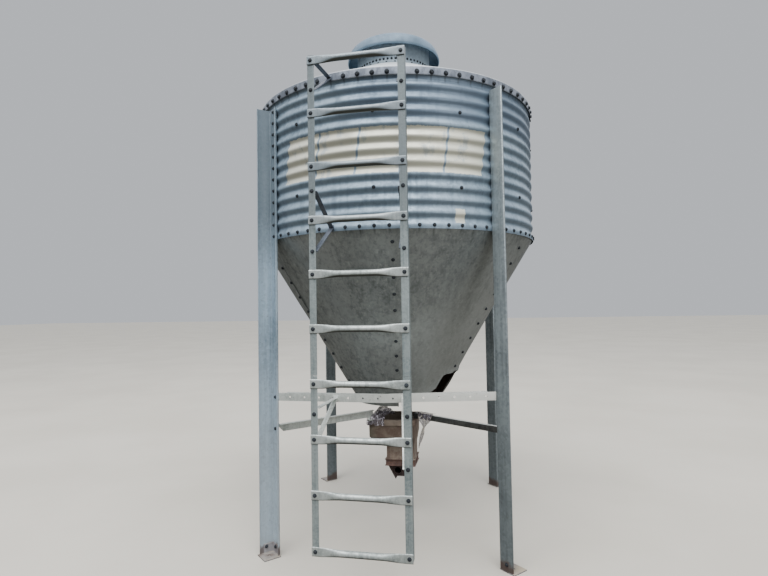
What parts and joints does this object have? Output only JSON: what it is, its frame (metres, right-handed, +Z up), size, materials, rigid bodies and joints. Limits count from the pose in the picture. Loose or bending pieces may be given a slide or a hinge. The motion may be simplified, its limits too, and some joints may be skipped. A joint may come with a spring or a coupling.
{
  "type": "grain silo",
  "caption": "Small corrugated feed silo on angle legs, with a cone roof, hinged fill lid, torn cone hopper, bolted ladder and a rusty boot slung below.",
  "frame": {"origin": "on the ground, under the middle of the whole silo with its ladder", "axes": "+Z up, the ladder on the -Y side, +X to the right of someone who faces the ladder"},
  "size_m": [1.8268, 2.0504, 3.258],
  "materials": {
    "galvanised_wall": "weathered spangled galvanised sheet",
    "dull_galvanised": "dull, streaked galvanised sheet",
    "galvanised_leg": "hot-dip galvanised angle",
    "ladder_steel": "bright spangled galvanised strip",
    "painted_lid": "dull blue-grey, weathered",
    "rusty_steel": "rusty painted steel"
  },
  "bodies": {
    "silo": {"wall_sheet_left": "galvanised_wall", "wall_sheet_front": "galvanised_wall", "wall_sheet_right": "galvanised_wall", "wall_sheet_back": "galvanised_wall", "hopper_panel_front_right": "dull_galvanised", "hopper_panel_right": "dull_galvanised", "hopper_panel_back_right": "dull_galvanised", "hopper_panel_back_left": "dull_galvanised", "hopper_panel_left": "dull_galvanised", "hopper_panel_front_left": "dull_galvanised", "roof_panel_front": "galvanised_wall", "roof_panel_back_right": "galvanised_wall", "roof_panel_back_left": "galvanised_wall", "fill_collar": "galvanised_wall", "lid_hinge_bracket": "galvanised_leg", "leg_front_right": "galvanised_leg", "leg_back_right": "galvanised_leg", "leg_back_left": "galvanised_leg", "leg_front_left": "galvanised_leg", "foot_front_right": "rusty_steel", "foot_back_right": "rusty_steel", "foot_back_left": "rusty_steel", "foot_front_left": "rusty_steel", "ladder_rail_left": "ladder_steel", "ladder_rail_right": "ladder_steel", "rung_1": "ladder_steel", "rung_2": "ladder_steel", "rung_3": "ladder_steel", "rung_4": "ladder_steel", "rung_5": "ladder_steel", "rung_6": "ladder_steel", "rung_7": "ladder_steel", "rung_8": "ladder_steel", "rung_9": "ladder_steel", "rung_10": "ladder_steel", "ladder_bracket_top_left": "ladder_steel", "ladder_bracket_top_right": "ladder_steel", "ladder_bracket_middle_left": "ladder_steel", "ladder_bracket_middle_right": "ladder_steel", "ladder_bracket_low_left": "ladder_steel", "ladder_bracket_low_right": "ladder_steel", "front_brace": "ladder_steel", "boot_strap_left": "ladder_steel", "boot_strap_right": "ladder_steel", "boot_hopper": "rusty_steel", "boot_trough": "rusty_steel"},
    "lid": {"lid": "painted_lid"}
  },
  "joints": [
    {"name": "lid_hinge", "type": "hinge", "parent": "silo", "child": "lid", "pos_m": [0, 0.45679, 3.12], "axis": [-1, 0, 0], "range_deg": [0, 110]}
  ]
}
